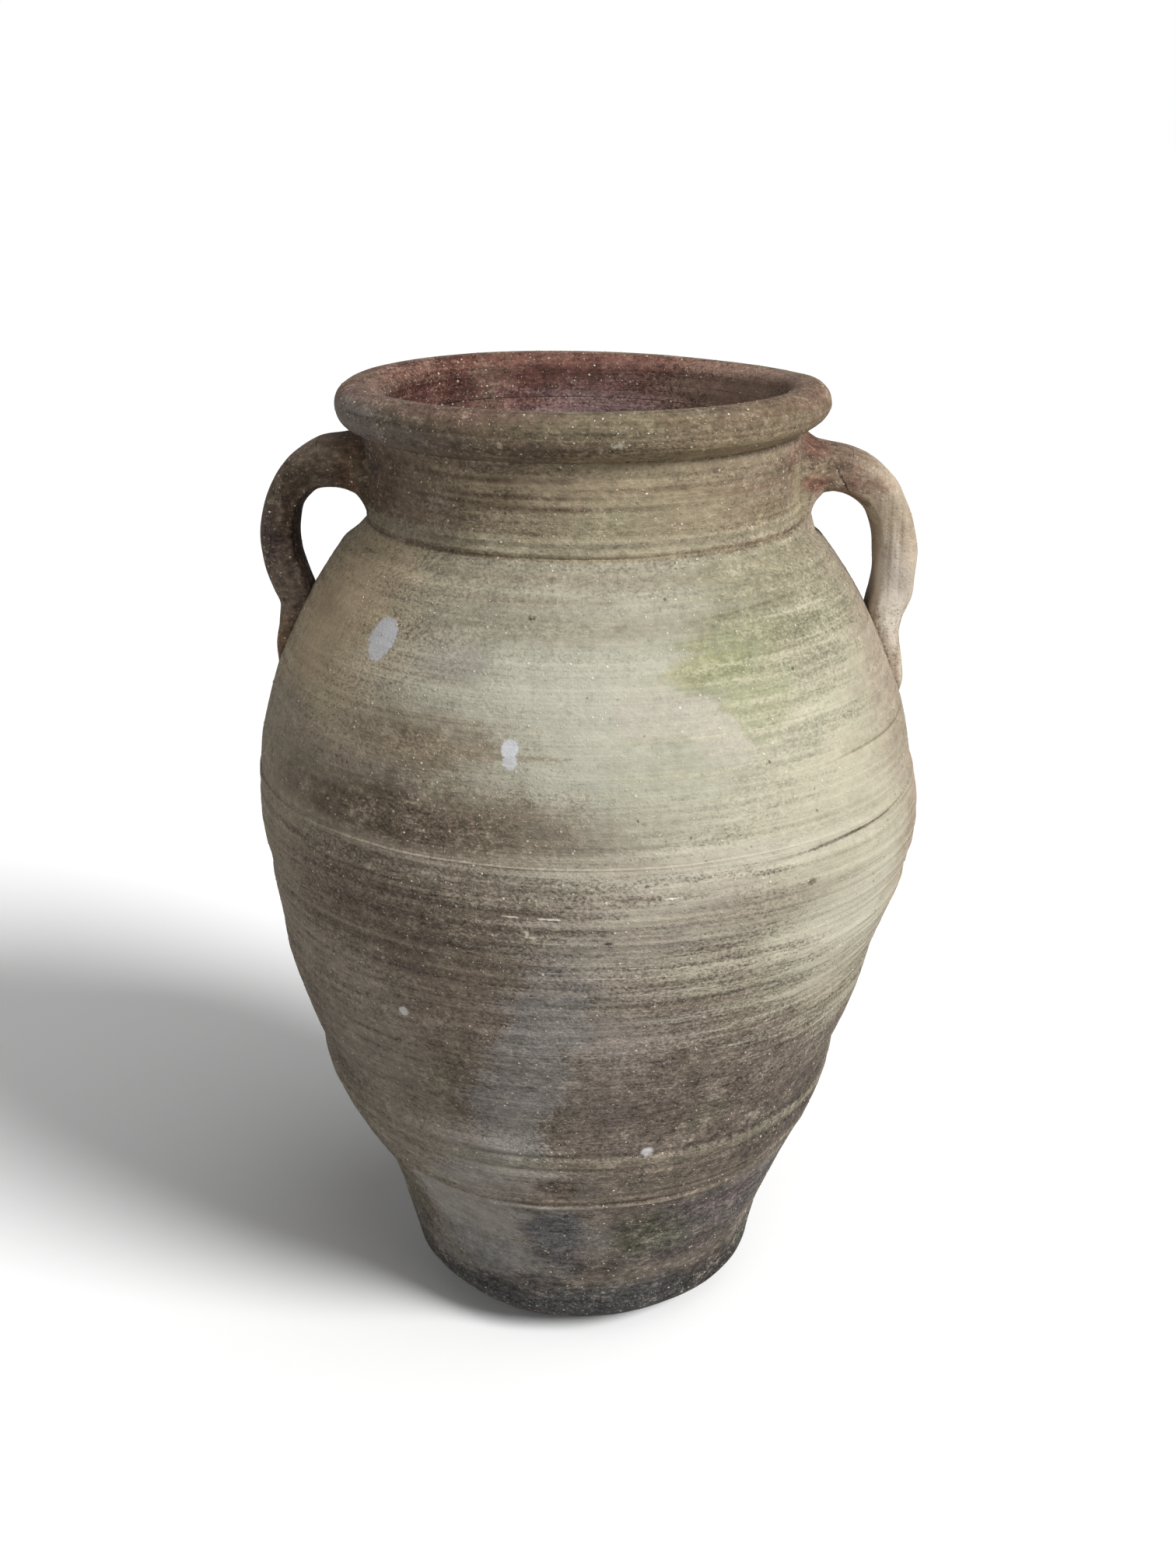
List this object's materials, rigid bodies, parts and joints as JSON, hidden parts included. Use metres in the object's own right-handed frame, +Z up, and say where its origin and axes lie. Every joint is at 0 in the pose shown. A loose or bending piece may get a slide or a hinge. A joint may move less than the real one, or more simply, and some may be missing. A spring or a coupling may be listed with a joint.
{
  "type": "olive jar",
  "caption": "Tall swelling unglazed clay storage jar with a narrow flared foot, short neck, thick rolled rim and strap handles from neck to shoulder, for holding olives or oil.",
  "frame": {"origin": "middle of the standing face under the foot", "axes": "+Z up along the jar's axis, +X through the right-hand handle, +Y to the back"},
  "size_m": [0.48, 0.4798, 0.7001],
  "materials": {
    "body_clay": "matte unglazed clay, sage-grey bloom over brown, gritty, with throwing lines",
    "rim_clay": "matte unglazed clay, wiped smooth, olive brown with a red-brown inside",
    "handle_clay": "matte unglazed clay, hand drawn, tan to dark brown"
  },
  "bodies": {
    "root": {"floor_disc": "body_clay", "foot_section": "body_clay", "lower_body_section": "body_clay", "belly_section": "body_clay", "shoulder_section": "body_clay", "neck_collar": "rim_clay", "rim_roll": "rim_clay", "left_handle": "handle_clay", "left_handle_luting": "handle_clay", "left_thumb_pad": "handle_clay", "right_handle": "handle_clay", "right_handle_luting": "handle_clay", "right_thumb_pad": "handle_clay"}
  },
  "joints": []
}
